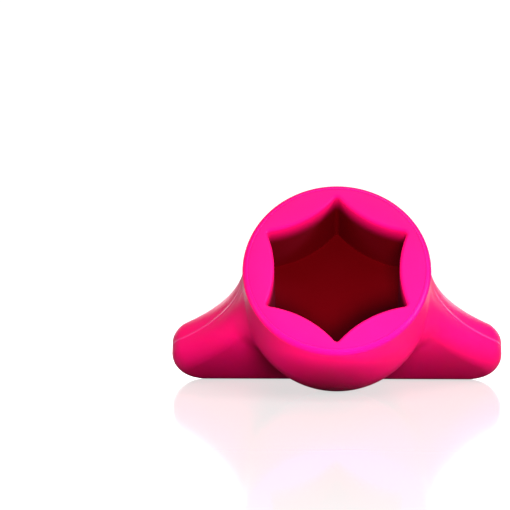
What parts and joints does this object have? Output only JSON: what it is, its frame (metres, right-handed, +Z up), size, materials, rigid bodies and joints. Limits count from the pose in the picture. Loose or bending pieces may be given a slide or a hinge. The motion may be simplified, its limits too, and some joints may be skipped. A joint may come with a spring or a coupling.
{
  "type": "hand turning key",
  "caption": "Soft T-bar hand key whose flared grip ends in a round barrel with a blind six-point socket for turning a lobed knob",
  "frame": {"origin": "on the surface that the key lies on, at the middle of its bounding box's foot", "axes": "+X along the T-bar, +Z up, -Y the side that the socket's mouth faces; the mouth is tipped up by the way the key lies on its dome and its bar's edge"},
  "size_m": [0.1, 0.071, 0.0602],
  "materials": {
    "soft_skin": "hot pink silicone, satin, soft rounded edges",
    "cup_plastic": "hot pink moulded plastic, satin, same colour as the skin",
    "plate_metal": "flat stamped sheet, bare, hidden inside the skin"
  },
  "bodies": {
    "root": {"grip_cover": "soft_skin", "socket_cup": "cup_plastic", "stiffening_plate": "plate_metal"}
  },
  "joints": []
}
